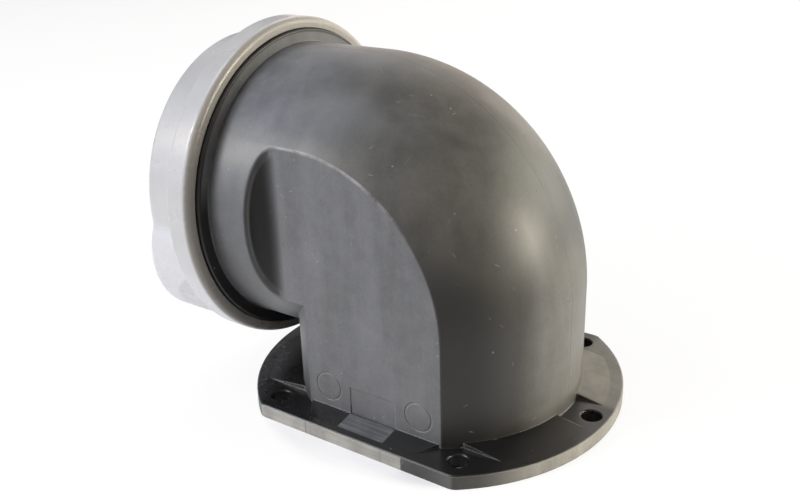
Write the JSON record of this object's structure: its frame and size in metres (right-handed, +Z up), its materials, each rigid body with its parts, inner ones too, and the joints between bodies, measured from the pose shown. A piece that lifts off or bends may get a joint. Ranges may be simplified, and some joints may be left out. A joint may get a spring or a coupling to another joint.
{
  "type": "elbow flange fitting",
  "caption": "Right-angle plastic pipe elbow with flattened sides and a bolt-down flange cut straight on two sides, and a grip ring on its outlet collar.",
  "frame": {"origin": "centre of the screw pattern, on the flange underside", "axes": "+Z up out of the flange, the outlet points along -X, the flat sides face -Y and +Y"},
  "size_m": [0.165, 0.1288, 0.1389],
  "materials": {
    "elbow_body": "satin moulded, lightly scuffed",
    "outlet_ring": "smooth moulded"
  },
  "bodies": {
    "root": {"elbow_body": "elbow_body", "outlet_ring": "outlet_ring"}
  },
  "joints": []
}
